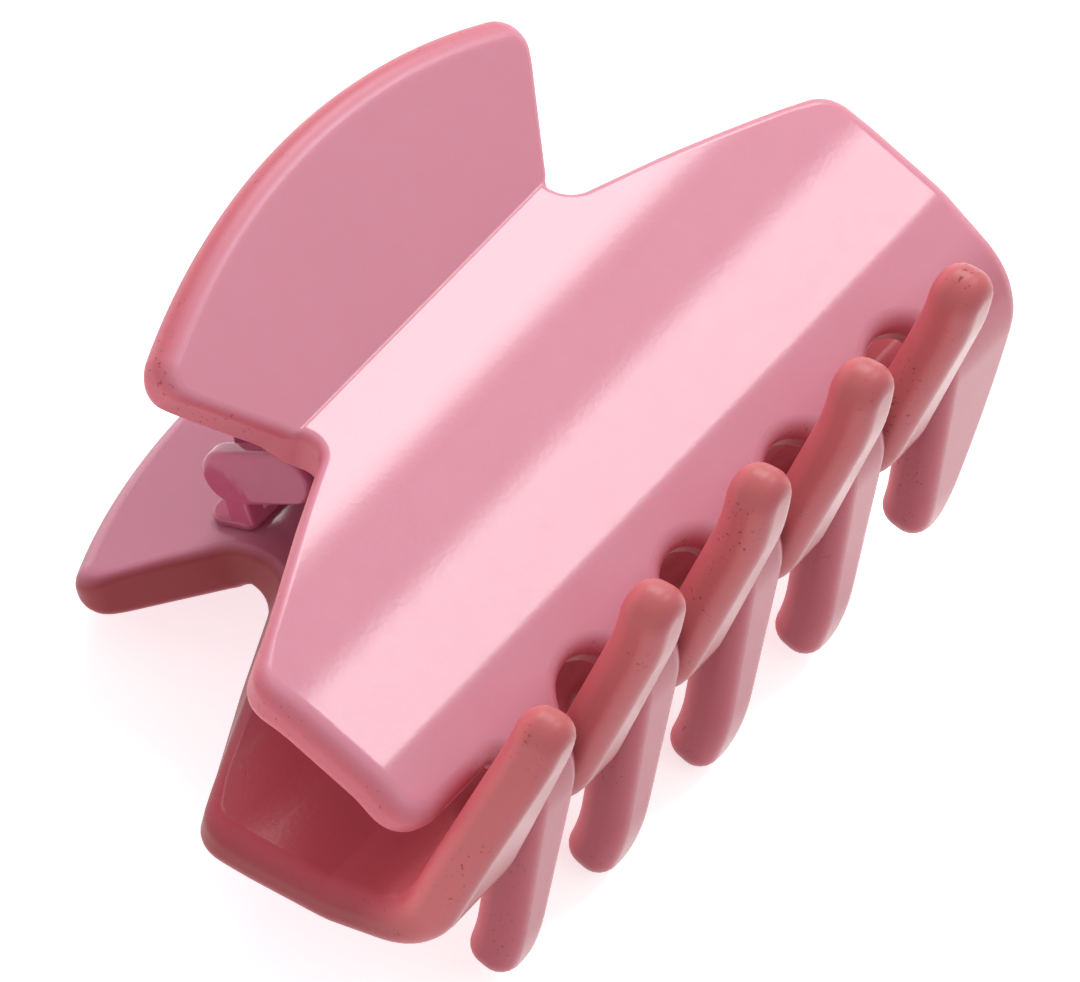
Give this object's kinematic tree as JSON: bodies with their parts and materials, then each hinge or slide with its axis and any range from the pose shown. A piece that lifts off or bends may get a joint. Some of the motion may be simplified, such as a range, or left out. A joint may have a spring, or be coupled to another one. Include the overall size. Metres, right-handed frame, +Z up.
{
  "type": "claw clip",
  "caption": "Spring-loaded plastic claw clip for hair: two toothed jaws that interleave, with flared handle wings, joined by a pinned hinge and a torsion spring.",
  "frame": {"origin": "centre of the bounding box in X and Y, at its lowest level: the clip stands on its lower wing and the upper jaw's tooth tips", "axes": "+X along the hinge pin, +Y from the teeth towards the handle wings, +Z up from the lower jaw to the upper jaw"},
  "size_m": [0.0772, 0.0512, 0.0419],
  "materials": {
    "jaw_plastic": "satin gloss moulded plastic, slightly translucent",
    "bracket_plastic": "glossy tinted clear plastic",
    "pin_steel": "drawn steel",
    "spring_steel": "drawn spring wire"
  },
  "bodies": {
    "lower": {"lower_jaw": "jaw_plastic", "lower_hinge_bracket": "bracket_plastic", "hinge_pin": "pin_steel", "torsion_spring": "spring_steel"},
    "upper": {"upper_jaw": "jaw_plastic", "upper_hinge_bracket": "bracket_plastic"}
  },
  "joints": [
    {"name": "jaw_hinge", "type": "hinge", "parent": "lower", "child": "upper", "pos_m": [0, 0.01132, 0.01874], "axis": [-1, 0, 0], "range_deg": [0, 60], "stiffness_Nm_per_rad": 0.3, "springref_deg": -28.65, "deforming": ["torsion_spring"]}
  ]
}
